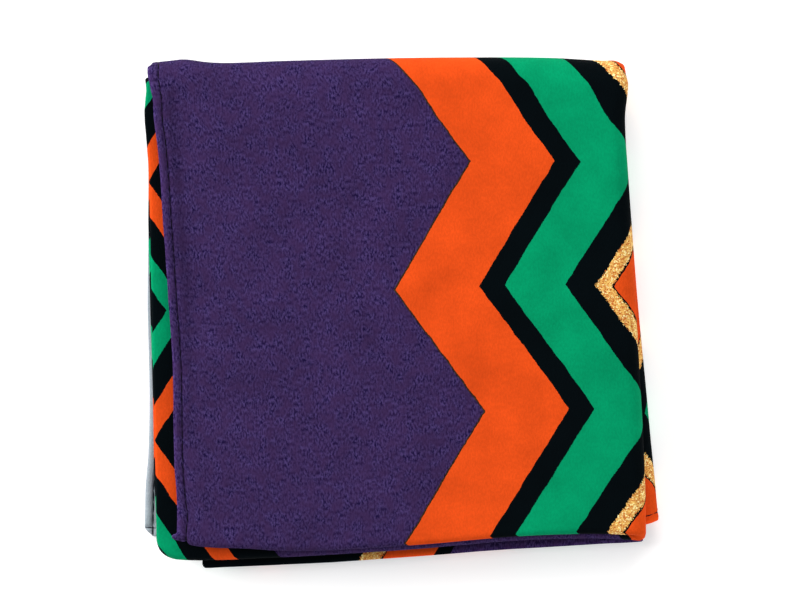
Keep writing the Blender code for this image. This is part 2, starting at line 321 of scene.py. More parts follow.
class Packet:
    """Folds points of the flat cloth into the packet."""

    def __init__(self):
        self.half_x, self.half_y, self.quarter_x, self.quarter_y = make_rolls()
        self.height = self.quarter_y.folded_height
        self.width = self.quarter_x.folded_length
        self.depth = self.quarter_y.folded_length

    def stack(self, u, v, up):
        """The point in a perfectly square packet, and how far it is round the two fat rolls."""
        x, z = self.half_x.place(u, up)
        y, z = self.half_y.place(v, z)
        turned_x = self.quarter_x.turned(x)
        x, z = self.quarter_x.place(x, z)
        turned_y = self.quarter_y.turned(y)
        y, z = self.quarter_y.place(y, z)
        return x, y, z, turned_x, turned_y

    def left_shift(self, u, v):
        """How far the left edge that this part of the cloth ends in stands inwards."""
        if u < self.quarter_x.end:
            edge = "left hem"
        elif u > CLOTH_WIDTH - self.quarter_x.end:
            edge = "right hem"
        else:
            edge = "middle fold"
        return read(LEFT_EDGES[edge], LEFT_EDGE_AT, 4 * v / CLOTH_HEIGHT) * MM

    def bottom_shift(self, v, x, turned_x):
        """How far the bottom edge that this part of the cloth ends in stands up."""
        if v < self.quarter_y.end:
            edge = "lower hem"
        elif v > CLOTH_HEIGHT - self.quarter_y.end:
            edge = "upper hem"
        else:
            edge = "middle fold"
        near, far = (
            read(BOTTOM_EDGES[edge, side], BOTTOM_EDGE_AT, x / MM) for side in ("near", "far")
        )
        return blend(near, far, ramp(turned_x, *EDGE_CHANGES)) * MM

    def corners(self, u, v, x, y, turned_x, turned_y):
        """Softens the corners of the packet, where two folds cross, and of the lowest layers."""
        top = self.depth + read(TOP_EDGE, TOP_EDGE_AT, x / MM) * MM
        left = self.left_shift(u, v)
        x, y = draw_in(x, y, (left, top), (1, -1), CORNERS["top left"])
        x, y = draw_in(x, y, (self.width, top), (-1, -1), CORNERS["top right"])
        if turned_x == 1 and turned_y == 1:
            middle = LEFT_EDGES["middle fold"][LEFT_EDGE_AT.index(2.0)]
            point = middle * MM, BOTTOM_EDGES["middle fold", "far"][0] * MM
            x, y = draw_in(x, y, point, (1, 1), CORNERS["crossed folds"])
        if v > CLOTH_HEIGHT - self.quarter_y.start and turned_x == 0:
            point = LEFT_EDGES["left hem"][-1] * MM, BOTTOM_EDGES["upper hem", "near"][0] * MM
            x, y = draw_in(x, y, point, (1, 1), CORNERS["hem corner"])
        if v < self.quarter_y.start and turned_x == 1:
            bottom = read(BOTTOM_EDGES["lower hem", "far"], BOTTOM_EDGE_AT, left / MM) * MM
            x, y = draw_in(x, y, (left, bottom), (1, 1), CORNERS["lower hem"])
        return x, y

    def place(self, u, v, up):
        """Where a point of the flat cloth lies in the folded packet. up: above its mid layer."""
        x, y, z, turned_x, turned_y = self.stack(u, v, up + LAYER / 2)
        across = min(max(x / self.quarter_x.start, 0.0), 1.0)
        along = min(max(y / self.quarter_y.start, 0.0), 1.0)
        x += (1 - across) * self.left_shift(u, v)
        y += (1 - along) * self.bottom_shift(v, x, turned_x)
        y += along * read(TOP_EDGE, TOP_EDGE_AT, x / MM) * MM
        x, y = self.corners(u, v, x, y, turned_x, turned_y)
        share = y / self.depth
        below = LEAN["lower hem" if v < CLOTH_HEIGHT / 2 else "lower half"]
        lower, upper = (read(row, LEAN_AT, share) for row in (below, LEAN["upper half"]))
        x += blend(lower, upper, turned_y) * MM
        z = self.settled(x, y, z, across, along)
        return x - PACKET_MIDDLE[0], y - PACKET_MIDDLE[1], z

    def settled(self, x, y, z, across, along):
        """The height of a point once the layers have sagged, bunched and parted."""
        share = z / self.height
        fan = FANNED * max((1 - across) ** FADE, FANNED_BELOW * (1 - along) ** FADE)
        z += fan * sin(BUNCHES * pi * share)
        z *= 1 - LOFT_LOST * (1 - across) * (1 - along)
        waves = Vector((x / WAVE_LENGTHS[0], y / WAVE_LENGTHS[1], NOISE_AT["waves"]))
        z *= 1 + WAVE_HEIGHT * noise.noise(waves)
        place = Vector((x - PACKET_MIDDLE[0], y - PACKET_MIDDLE[1])) / MM
        z += creased(place) * MM * (z / self.height) ** FADE
        return max(z, LOWEST)


PACKET = Packet()


# ---------------------------------------------------------------- settings


def length_setting(name, description, default):
    """A length that a user can change."""
    return FloatProperty(name=name, description=description, default=default, unit="LENGTH")


def colour_setting(name, description, default):
    """A colour that a user can change."""
    return FloatVectorProperty(
        name=name, description=description, default=default, subtype="COLOR"
    )


class FuroshikiCloth(bpy.types.PropertyGroup):
    thickness: length_setting("Cloth thickness", "Thickness of one layer, with its nap", 0.72 * MM)
    wander: length_setting(
        "Hem wander", "How far a hem's edge strays to each side of a straight line", 0.35 * MM
    )
    pucker: length_setting(
        "Hem pucker",
        "Height of the small ripples that the stitches draw up beside a hem",
        0.14 * MM,
    )
    pucker_length: length_setting(
        "Pucker length", "Distance from one ripple beside a hem to the next", 6.5 * MM
    )
    groove: length_setting(
        "Stitched groove", "How deep the stitches pull in the front hem", 0.62 * MM
    )


class FuroshikiStitches(bpy.types.PropertyGroup):
    pitch: length_setting("Stitch pitch", "Distance from one stitch to the next", 4.1 * MM)
    length: length_setting(
        "Stitch length", "Length of thread that shows between two needle holes", 3.85 * MM
    )
    thread: length_setting("Thread", "Diameter of the sewing thread", 0.44 * MM)
    pull: length_setting("Pull", "How far a stitch's ends are pulled into the cloth", 0.17 * MM)
    height: length_setting(
        "Height",
        "How far a stitch's middle lies from the middle of the cloth's thickness",
        0.235 * MM,
    )
    sides: IntProperty(name="Thread sides", description="Faces round a stitch", default=6)


class FuroshikiPrint(bpy.types.PropertyGroup):
    ground: colour_setting("Ground", "Plain purple ground", (0.0325, 0.0194, 0.0795))
    orange: colour_setting("Orange", "Widest band", (0.720, 0.071, 0.0085))
    green: colour_setting("Green", "Second band", (0.0006, 0.275, 0.114))
    black: colour_setting("Black", "Bands between colours", (0.0008, 0.0024, 0.0034))
    gold: colour_setting("Gold", "Paler flakes of the glittering band", (0.88, 0.57, 0.15))
    reverse: colour_setting("Reverse", "Unprinted side", (0.47, 0.54, 0.58))
    thread: colour_setting("Thread", "Sewing thread", (0.004, 0.003, 0.008))
    zigzag_length: length_setting("Zigzag length", "Length of one zigzag", 88 * MM)
    zigzag_depth: length_setting("Zigzag depth", "Depth of the zigzag", 30 * MM)
    zigzag_start: length_setting(
        "Zigzag start", "How far below the cloth's lower hem a zigzag starts", 44 * MM
    )


# Bands of the print across the cloth's width: where each starts, in mm, and its colour. They
# repeat at the last value.
BANDS = (
    (0.0, "ground"),
    (112.0, "orange"),
    (142.0, "black"),
    (150.0, "green"),
    (172.0, "black"),
    (184.0, "gold"),
    (190.0, "orange"),
    (204.0, "black"),
    (208.0, "ground"),
    (326.0, "black"),
    (338.0, "orange"),
    (347.0, "black"),
    (357.0, "green"),
    (364.0, "black"),
    (430.0, "gold"),
    (436.0, "orange"),
    (458.0, "black"),
    (464.0, "ground"),
    (560.0, "green"),
    (580.0, "black"),
    (588.0, "orange"),
    (616.0, "black"),
    (620.0, "ground"),
)
BAND_REPEAT = 720.0
OVERPRINT = 0.7 * MM  # how far one ink goes over the next


# ---------------------------------------------------------------- mesh helpers


def deselect():
    """Leaves nothing selected, in object mode."""
    if bpy.context.object and bpy.context.object.mode != "OBJECT":
        bpy.ops.object.mode_set(mode="OBJECT")
    bpy.ops.object.select_all(action="DESELECT")


def spaced(start, end, steps):
    """Even places from start up to, but without, end."""
    return [start + (end - start) * k / steps for k in range(steps)]


# Steps of the grid in each flat part of the cloth: in a fine strip at each end, and between them.
# The front is the first part across and the third along, and is the finest.
Panel = namedtuple("Panel", "first middle last")
PANELS_ACROSS = (Panel(14, 34, 6), Panel(4, 12, 8), Panel(8, 12, 4), Panel(4, 12, 8))
PANELS_ALONG = (Panel(6, 12, 4), Panel(4, 12, 8), Panel(26, 52, 8), Panel(4, 12, 8))
FINE_STRIP = 14 * MM


def grid_lines(length, half, quarter, panels):
    """Places of the grid's lines along the flat cloth, with its hems and rolls the finest."""
    flats = [(HEM_AT[-1] * MM, quarter.start), (quarter.end, half.start)]
    flats += [(length - end, length - start) for start, end in reversed(flats)]
    rolls = (quarter, half, quarter)
    lines = [distance * MM for distance in HEM_AT[:-1]]
    for k, ((start, end), panel) in enumerate(zip(flats, panels)):
        lines += spaced(start, start + FINE_STRIP, panel.first)
        lines += spaced(start + FINE_STRIP, end - FINE_STRIP, panel.middle)
        lines += spaced(end - FINE_STRIP, end, panel.last)
        if k < len(rolls):
            lines += spaced(end, flats[k + 1][0], rolls[k].steps)
    return lines + [length - distance * MM for distance in reversed(HEM_AT)]


def hem_distance(u, v):
    """Distance in from the nearest hem's edge."""
    return min(u, CLOTH_WIDTH - u, v, CLOTH_HEIGHT - v)


def along_hem(u, v):
    """Place along the nearest hem, with each hem's stretch apart from the others."""
    distances = (u, CLOTH_WIDTH - u, v, CLOTH_HEIGHT - v)
    side = distances.index(min(distances))
    return (v if side < 2 else u) + side * HEM_APART


def uneven(along, length, row, column=0.0):
    """Smooth noise along a hem, with waves of about this length."""
    return noise.noise(Vector((along / length, row, column)))


def free_hem(u, v, printed):
    """1 where no layer presses on a hem, and 0 on the rest of the cloth.

    The left hem is free on the front, up to the top of its roll, and on the reverse side at the
    lowest layer's corner, which looks out at the bottom left.
    """
    if printed:
        bottom = PACKET.half_y.start
        top = CLOTH_HEIGHT - (PACKET.quarter_y.start + PACKET.quarter_y.end) / 2
        free = ramp(v, bottom - FREE_BELOW, bottom)
        free *= 1 - ramp(v, *(top - below for below in FREE_UP_TO))
    else:
        free = ramp(v, *(share * CLOTH_HEIGHT for share in CORNER_FROM))
    return free * (1 - ramp(u, HEM_AT[-1] * MM, FREE_REACH * HEM_AT[-1] * MM))


def relief(u, v, cloth):
    """Height of the small ripples beside a hem, and of the groove that its stitches pull in."""
    distance = hem_distance(u, v)
    along = along_hem(u, v)
    amount, length = RIPPLE_HEIGHT_VARIES
    strength = 1 + amount * uneven(along, length, NOISE_AT["ripple height"])
    amount, length = RIPPLE_PHASE_VARIES
    phase = 2 * pi * (along + RIPPLE_SLANT * distance) / cloth.pucker_length
    phase += amount * uneven(along, length, NOISE_AT["ripple phase"])
    ripple = cloth.pucker * strength * sin(phase) * exp(-distance / RIPPLE_REACH)
    towards_edge, inwards = GROOVE_REACH
    off = (distance - STITCH_LINE) / (inwards if distance > STITCH_LINE else towards_edge)
    return ripple - cloth.groove * free_hem(u, v, True) * exp(-off * off)


def hem_half(u, v, printed):
    """Half the cloth's thickness, towards its printed side or away, drawn in by the stitches.

    Where two hems cross, each one's stitches go on over the other one, to the edge.
    """
    free = free_hem(u, v, printed)
    distances = sorted((min(u, CLOTH_WIDTH - u), min(v, CLOTH_HEIGHT - v)))
    near, crossed = (
        blend(read(HEM_PRESSED, HEM_AT, place / MM), read(HEM_FREE, HEM_AT, place / MM), free)
        for place in distances
    )
    away = ramp(distances[1], STITCH_LINE, CROSSING * STITCH_LINE)
    return blend(min(near, crossed), near, away) * MM


def hem_end(u, v):
    """How far the front hem bulges out at its lower end, in a bulge with a flat top."""
    off = (v - PACKET.half_y.end + HEM_END.below) / HEM_END.length
    fade = ramp(u, *(distance * STITCH_LINE for distance in HEM_END_FADES))
    return HEM_END.out * exp(-(off**4)) * (1 - fade)


def widened(u, v):
    """How far the front hem's stitches and the cloth beside them stand inwards.

    It grows from the hem's edge to its stitch line, and dies out at three times that distance.
    """
    wider = read(WIDER, WIDER_AT, 4 * v / CLOTH_HEIGHT) * MM
    return wider * max(min(u / STITCH_LINE, 1.5 - u / (2 * STITCH_LINE)), 0.0)


def stray(place, length, along, wander):
    """Moves a place near a hem to the side, as far as the hem strays there."""
    for edge, row in ((0.0, NOISE_AT["near hem"]), (length, NOISE_AT["far hem"])):
        near = max(1 - abs(place - edge) / STRAY_REACH, 0.0)
        if near > 0:
            slow = uneven(along, SLOW_STRAY, row)
            quick = uneven(along, QUICK_STRAY, row, NOISE_AT["quick stray"])
            place += near * wander * (slow + QUICK_SHARE * quick)
    return place


def fold_mesh(piece, cloth):
    """Takes a piece that was modelled on the flat cloth through the folds."""
    for vertex in piece.data.vertices:
        u, v, up = vertex.co
        up += relief(u, v, cloth)
        bent_u = stray(u, CLOTH_WIDTH, v, cloth.wander) - hem_end(u, v) + widened(u, v)
        bent_v = stray(v, CLOTH_HEIGHT, u, cloth.wander)
        vertex.co = PACKET.place(bent_u, bent_v, up)
    piece.data.update()


# ---------------------------------------------------------------- the finishes

WEAVE_PITCH = 0.42 * MM  # from one thread of the weave to the next
WEAVE_SHARE = 0.35  # how high the weave stands, as a share of the bump's depth
BUMP_DEPTH = 0.12 * MM  # of the weave and its yarn
HUE_TURN = 0.8  # how far the ground's yarn turns to red
SHADE_DRIFT = (0.70, 0.65)  # how far the slow drifts of shade go, and where they start
PRINT_ROUGHNESS = 0.92
SHOWN_THROUGH = 0.22  # how much of the print shows on the reverse side
REVERSE_FLECKS = 0.6  # how much of the yarn's flecks shows there

FLAKES = 2300.0  # flakes of gold to the metre
RAGGED = 0.9 * MM  # how far they come out of a gold band's edge
METALLIC_FROM = 0.6  # of the flakes, all but this share are metallic
SPARKLING_FROM = 0.86  # and all but this share sparkle
GOLD_METAL = 0.4
GOLD_SMOOTHER = 0.35  # how much less rough the gold is than the print


def add(tree, kind, **settings):
    """A new node. settings: its properties, and its inputs by name with _ for a space."""
    node = tree.nodes.new(kind)
    for name, value in settings.items():
        if hasattr(node, name):
            setattr(node, name, value)
        else:
            node.inputs[name.replace("_", " ")].default_value = value
    return node


def calc(tree, operation, *values):
    """A Math node's result, from sockets and numbers."""
    node = add(tree, "ShaderNodeMath", operation=operation)
    for socket, value in zip(node.inputs, values):
        if isinstance(value, bpy.types.NodeSocket):
            tree.links.new(value, socket)
        else:
            socket.default_value = value
    return node.outputs[0]


def mix(tree, mode, factor, a, b):
    """A colour mixed from two, each a socket or a colour."""
    node = add(tree, "ShaderNodeMix", data_type="RGBA", blend_type=mode)
    for name, value in (("Factor_Float", factor), ("A_Color", a), ("B_Color", b)):
        socket = next(s for s in node.inputs if s.identifier == name)
        if isinstance(value, bpy.types.NodeSocket):
            tree.links.new(value, socket)
        else:
            socket.default_value = value
    return next(s for s in node.outputs if s.identifier == "Result_Color")


def opaque(colour):
    """The colour with an alpha of 1."""
    return (*colour, 1.0)


def tinted(tree, colour, tint):
    """A colour times a tint, whose 1 leaves a channel as it is."""
    return mix(tree, "MULTIPLY", 1.0, colour, opaque(tint))


def add_bump(tree, shader, height, strength, distance):
    """Gives the shader its normal from a height."""
    bump = add(tree, "ShaderNodeBump", Strength=strength, Distance=distance)
    tree.links.new(height, bump.inputs["Height"])
    tree.links.new(bump.outputs["Normal"], shader.inputs["Normal"])


def add_cloth_bump(tree, shader, threads, yarn, flecks, strength):
    """Bump of the weave and its yarn. flecks: how high they stand or, below 0, how deep."""
    height = calc(tree, "MULTIPLY", threads.outputs["Height"], WEAVE_SHARE)
    height = calc(tree, "MULTIPLY_ADD", yarn.outputs["Flecks"], flecks, height)
    add_bump(tree, shader, height, strength, BUMP_DEPTH)


def new_group(name, inputs, outputs):
    """An empty node group with its sockets, as the tree and its two ends."""
    group = bpy.data.node_groups.new(name, "ShaderNodeTree")
    for socket, kind, value in inputs:
        item = group.interface.new_socket(socket, in_out="INPUT", socket_type=kind)
        if value is not None:
            item.default_value = value
    for socket, kind in outputs:
        group.interface.new_socket(socket, in_out="OUTPUT", socket_type=kind)
    return group, group.nodes.new("NodeGroupInput"), group.nodes.new("NodeGroupOutput")


def weave_group():
    """Plain weave: threads that pass over and under each other, at a pitch in metres."""
    group, start, end = new_group(
        "plain weave",
        (("Place", "NodeSocketVector", None), ("Thread Pitch", "NodeSocketFloat", 0.4 * MM)),
        (("Height", "NodeSocketFloat"),),
    )
    parts = add(group, "ShaderNodeSeparateXYZ")
    group.links.new(start.outputs["Place"], parts.inputs[0])
    turn = calc(group, "DIVIDE", pi, start.outputs["Thread Pitch"])
    warp = calc(group, "SINE", calc(group, "MULTIPLY", parts.outputs["X"], turn))
    weft = calc(group, "SINE", calc(group, "MULTIPLY", parts.outputs["Y"], turn))
    height = calc(group, "MULTIPLY_ADD", calc(group, "MULTIPLY", warp, weft), 0.5, 0.5)
    group.links.new(height, end.inputs["Height"])
    return group


def grain_group():
    """Uneven yarn: flecks that are longest along Y, a turn of hue, and slow drifts of shade."""
    group, start, end = new_group(
        "yarn grain",
        (("Place", "NodeSocketVector", None), ("Grain Size", "NodeSocketFloat", 1.0 * MM)),
        (("Flecks", "NodeSocketFloat"), ("Hue", "NodeSocketFloat"), ("Drift", "NodeSocketFloat")),
    )
    scale = calc(group, "DIVIDE", 1.0, start.outputs["Grain Size"])
    # share: scale, beside the flecks' own. slim: a spot's length in its widths. reach: how far
    # from its middle value the noise counts in full.
    for name, share, slim, reach in (("Flecks", 1.0, 2.0, 0.10), ("Hue", 0.25, 1.2, 0.15)):
        apart = add(group, "ShaderNodeVectorMath", operation="MULTIPLY")
        apart.inputs[1].default_value = (slim, 1.0, 1.0)
        group.links.new(start.outputs["Place"], apart.inputs[0])
        flecks = add(group, "ShaderNodeTexNoise", Detail=2.5, Roughness=0.6)
        group.links.new(apart.outputs["Vector"], flecks.inputs["Vector"])
        group.links.new(calc(group, "MULTIPLY", scale, share), flecks.inputs["Scale"])
        spread = add(group, "ShaderNodeMapRange", From_Min=0.5 - reach, From_Max=0.5 + reach)
        group.links.new(flecks.outputs["Fac"], spread.inputs["Value"])
        group.links.new(spread.outputs["Result"], end.inputs[name])
    drift = add(group, "ShaderNodeTexNoise", Scale=60.0, Detail=4.0, Roughness=0.6)
    group.links.new(start.outputs["Place"], drift.inputs["Vector"])
    group.links.new(drift.outputs["Fac"], end.inputs["Drift"])
    return group


def hem_highlight_group():
    """Painted sheen highlight on a hem's edge: 1 on the edge, 0 from the given distance in."""
    group, start, end = new_group(
        "painted hem highlight",
        (("Place", "NodeSocketVector", None), ("Reach", "NodeSocketFloat", 2.0 * MM)),
        (("Painted Highlight", "NodeSocketFloat"),),
    )
    parts = add(group, "ShaderNodeSeparateXYZ")
    group.links.new(start.outputs["Place"], parts.inputs[0])
    nearest = None
    for axis, length in (("X", CLOTH_WIDTH), ("Y", CLOTH_HEIGHT)):
        other = calc(group, "SUBTRACT", length, parts.outputs[axis])
        edge = calc(group, "MINIMUM", parts.outputs[axis], other)
        nearest = edge if nearest is None else calc(group, "MINIMUM", nearest, edge)
    share = calc(group, "DIVIDE", nearest, start.outputs["Reach"])
    highlight_mask = calc(group, "SUBTRACT", 1.0, calc(group, "MINIMUM", share, 1.0))
    group.links.new(highlight_mask, end.inputs["Painted Highlight"])
    return group


def place_group(group_tree, tree, place, **values):
    """A node of the group that reads a place, with its own values."""
    node = add(tree, "ShaderNodeGroup", node_tree=group_tree)
    tree.links.new(place, node.inputs["Place"])
    for name, value in values.items():
        node.inputs[name.replace("_", " ")].default_value = value
    return node


def new_material(name, roughness):
    """A material, with its tree and its shader."""
    material = bpy.data.materials.new(name)
    material.use_nodes = True
    shader = material.node_tree.nodes["Principled BSDF"]
    shader.inputs["Roughness"].default_value = roughness
    return material, material.node_tree, shader


def flat_place(tree):
    """The point's place on the flat cloth, in metres, from the piece's own map."""
    own_map = add(tree, "ShaderNodeUVMap", uv_map="flat cloth")
    scaled = add(tree, "ShaderNodeVectorMath", operation="MULTIPLY")
    scaled.inputs[1].default_value = (CLOTH_WIDTH, CLOTH_HEIGHT, 0.0)
    tree.links.new(own_map.outputs["UV"], scaled.inputs[0])
    return scaled.outputs["Vector"]


def band_ramp(tree, across, colours):
    """Steps of colour across the bands. across: place over the cloth's width, in metres."""
    where = calc(tree, "FRACT", calc(tree, "DIVIDE", across, BAND_REPEAT * MM))
    steps = add(tree, "ShaderNodeValToRGB")
    steps.color_ramp.interpolation = "CONSTANT"
    stops = steps.color_ramp.elements
    while len(stops) > 1:
        stops.remove(stops[0])
    for i, (start, name) in enumerate(BANDS):
        stop = stops[0] if i == 0 else stops.new(start / BAND_REPEAT)
        stop.position = start / BAND_REPEAT
        stop.color = colours[name]
    tree.links.new(where, steps.inputs["Fac"])
    return steps.outputs["Color"]


def band_mask(tree, across, kept):
    """1 on the bands of one colour, and 0 on the others."""
    return band_ramp(tree, across, {name: opaque((float(name == kept),) * 3) for _, name in BANDS})


def zigzag_across(tree, place, settings):
    """Place across the bands, which run in zigzags and have soaked unevenly into the cloth."""
    parts = add(tree, "ShaderNodeSeparateXYZ")
    tree.links.new(place, parts.inputs[0])
    half = settings.zigzag_length / 2
    along = calc(tree, "ADD", parts.outputs["Y"], settings.zigzag_start)
    zigzag = calc(tree, "PINGPONG", along, half)
    across = calc(tree, "MULTIPLY_ADD", zigzag, settings.zigzag_depth / half, parts.outputs["X"])
    # Fine and coarse soaking: its scale, and how far it goes.
    for scale, reach in ((1200.0, 0.45 * MM), (160.0, 1.3 * MM)):
        soak = add(tree, "ShaderNodeTexNoise", Scale=scale, Detail=2.0)
        tree.links.new(place, soak.inputs["Vector"])
        across = calc(tree, "MULTIPLY_ADD", soak.outputs["Fac"], reach, across)
    return across


def flat_inks(tree, across, settings):
    """The print's flat colours, each a little over the next. The gold lies on black."""
    names = ("ground", "orange", "green", "black")
    colours = {name: opaque(getattr(settings, name)) for name in names}
    colours["gold"] = colours["black"]
    inks = [
        band_ramp(tree, calc(tree, "ADD", across, shift), colours)
        for shift in (-OVERPRINT / 2, OVERPRINT / 2)
    ]
    return mix(tree, "DARKEN", 1.0, *inks)


def printed_material(settings, weave, grain, hem_highlight):
    """Print on mottled yarn, with flakes in its gold bands and a painted highlight along its hems.
    """
    material, tree, shader = new_material("printed side", PRINT_ROUGHNESS)
    place = flat_place(tree)
    across = zigzag_across(tree, place, settings)
    colour = flat_inks(tree, across, settings)
    ground = band_mask(tree, across, "ground")
    yarn = place_group(grain, tree, place, Grain_Size=1.25 * MM)
    threads = place_group(weave, tree, place, Thread_Pitch=WEAVE_PITCH)
    # Where the painted highlight lies along the hems.
    highlight_mask = place_group(hem_highlight, tree, place, Reach=1.6 * MM)

    # The yarn takes the ground unevenly, and the other inks nearly evenly.
    even = tinted(tree, colour, (0.90, 0.90, 0.90))
    even = mix(tree, "MIX", yarn.outputs["Flecks"], even, colour)
    deep = tinted(tree, colour, (0.24, 0.18, 0.42))
    pale = tinted(tree, colour, (1.80, 1.86, 1.62))
    reddish = tinted(tree, colour, (1.16, 0.88, 0.84))
    mottled = mix(tree, "MIX", yarn.outputs["Flecks"], deep, pale)
    turned = calc(tree, "MULTIPLY", yarn.outputs["Hue"], HUE_TURN)
    mottled = mix(tree, "MIX", turned, mottled, reddish)
    flecked = mix(tree, "MIX", ground, even, mottled)
    drift = calc(tree, "MULTIPLY_ADD", yarn.outputs["Drift"], *SHADE_DRIFT)
    shaded = mix(tree, "MULTIPLY", 1.0, flecked, drift)
    # Painted highlight: this tint lightens the print along each hem's edge, for the sheen there.
    painted_highlight = tinted(tree, shaded, (1.45, 1.40, 1.50))
    shaded = mix(tree, "MIX", highlight_mask.outputs["Painted Highlight"], shaded, painted_highlight)

    # Each flake's red, green and blue are its shade, its glitter and how far out it lies.
    flakes = add(tree, "ShaderNodeTexVoronoi", Scale=FLAKES)
    tree.links.new(place, flakes.inputs["Vector"])
    flake = add(tree, "ShaderNodeSeparateColor")
    tree.links.new(flakes.outputs["Color"], flake.inputs[0])
    ragged = calc(tree, "MULTIPLY_ADD", flake.outputs["Blue"], RAGGED, across)
    gold = band_mask(tree, ragged, "gold")
    deep_gold = tinted(tree, opaque(settings.gold), (0.54, 0.16, 0.08))
    glitter = mix(tree, "MIX", flake.outputs["Red"], deep_gold, opaque(settings.gold))
    sparkle = calc(tree, "GREATER_THAN", flake.outputs["Green"], SPARKLING_FROM)
    glitter = mix(tree, "MIX", sparkle, glitter, opaque((0.97, 0.82, 0.38)))
    final = mix(tree, "MIX", gold, shaded, glitter)
    tree.links.new(final, shader.inputs["Base Color"])

    metallic = calc(tree, "GREATER_THAN", flake.outputs["Green"], METALLIC_FROM)
    metal = calc(tree, "MULTIPLY", calc(tree, "MULTIPLY", metallic, gold), GOLD_METAL)
    tree.links.new(metal, shader.inputs["Metallic"])
    rough = calc(tree, "MULTIPLY_ADD", gold, -GOLD_SMOOTHER, PRINT_ROUGHNESS)
    tree.links.new(rough, shader.inputs["Roughness"])
    shader.inputs["Specular IOR Level"].default_value = 0.03
    add_cloth_bump(tree, shader, threads, yarn, flecks=0.8, strength=0.5)
    return material


def reverse_material(settings, weave, grain):
    """Unprinted yarn, with a little of the print showing through."""
    material, tree, shader = new_material("reverse side", 0.9)
    place = flat_place(tree)
    colour = flat_inks(tree, zigzag_across(tree, place, settings), settings)
    yarn = place_group(grain, tree, place, Grain_Size=0.95 * MM)
    threads = place_group(weave, tree, place, Thread_Pitch=WEAVE_PITCH)
    pale = opaque(settings.reverse)
    shown_through = mix(tree, "MULTIPLY", SHOWN_THROUGH, pale, colour)
    dark = tinted(tree, shown_through, (0.70, 0.72, 0.76))
    flecks = calc(tree, "MULTIPLY", yarn.outputs["Flecks"], REVERSE_FLECKS)
    flecked = mix(tree, "MIX", flecks, shown_through, dark)
    tree.links.new(flecked, shader.inputs["Base Color"])
    shader.inputs["Sheen Weight"].default_value = 0.12
    shader.inputs["Specular IOR Level"].default_value = 0.25
    add_cloth_bump(tree, shader, threads, yarn, flecks=-0.9, strength=0.55)
    return material


def thread_material(settings, grain):
    """Dull dark thread, a little uneven."""
    material, tree, shader = new_material("sewing thread", 0.6)
    where = add(tree, "ShaderNodeTexCoord")
    yarn = place_group(grain, tree, where.outputs["Object"], Grain_Size=0.3 * MM)
    light = mix(tree, "ADD", 1.0, opaque(settings.thread), opaque((0.004, 0.003, 0.005)))
    colour = mix(tree, "MIX", yarn.outputs["Flecks"], opaque(settings.thread), light)
    tree.links.new(colour, shader.inputs["Base Color"])
    shader.inputs["Specular IOR Level"].default_value = 0.04
    add_bump(tree, shader, yarn.outputs["Flecks"], strength=0.4, distance=0.05 * MM)
    return material


# ---------------------------------------------------------------- the pieces


class FUROSHIKI_OT_cloth(bpy.types.Operator):
    """Add the printed cloth with its hems, folded into the packet"""

    bl_idname = "furoshiki.cloth"
    bl_label = "Folded Cloth"

    def execute(self, context):
        cloth = context.scene.furoshiki_cloth
        across = grid_lines(CLOTH_WIDTH, PACKET.half_x, PACKET.quarter_x, PANELS_ACROSS)
        along = grid_lines(CLOTH_HEIGHT, PACKET.half_y, PACKET.quarter_y, PANELS_ALONG)
        columns, rows = len(across) - 1, len(along) - 1

        deselect()
        bpy.ops.mesh.primitive_grid_add(x_subdivisions=columns, y_subdivisions=rows, size=1)
        piece = context.object
        piece.name = "printed_cloth"
        mesh = piece.data
        for vertex in mesh.vertices:
            column = round((vertex.co.x + 0.5) * columns)
            row = round((vertex.co.y + 0.5) * rows)
            vertex.co = (across[column], along[row], 0.0)
        own_map = mesh.uv_layers[0]
        own_map.name = "flat cloth"
        for loop in mesh.loops:
            u, v, _ = mesh.vertices[loop.vertex_index].co
            own_map.uv[loop.index].vector = (u / CLOTH_WIDTH, v / CLOTH_HEIGHT)

        weave, grain, hem_highlight = weave_group(), grain_group(), hem_highlight_group()
        settings = context.scene.furoshiki_print
        mesh.materials.append(printed_material(settings, weave, grain, hem_highlight))
        mesh.materials.append(reverse_material(settings, weave, grain))

        bpy.ops.object.modifier_add(type="SOLIDIFY")
        solidify = piece.modifiers[-1]
        solidify.thickness = cloth.thickness
        solidify.offset = 0.0
        solidify.material_offset = 1
        bpy.ops.object.modifier_apply(modifier=solidify.name)
        share = cloth.thickness / (2 * HEM_PRESSED[-1] * MM)
        for vertex in mesh.vertices:
            printed = vertex.co.z > 0
            half = share * hem_half(vertex.co.x, vertex.co.y, printed)
            vertex.co.z = half if printed else -half
        fold_mesh(piece, cloth)
        bpy.ops.object.shade_smooth()

        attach(piece, "root")
        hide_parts("cloth")
        return {"FINISHED"}


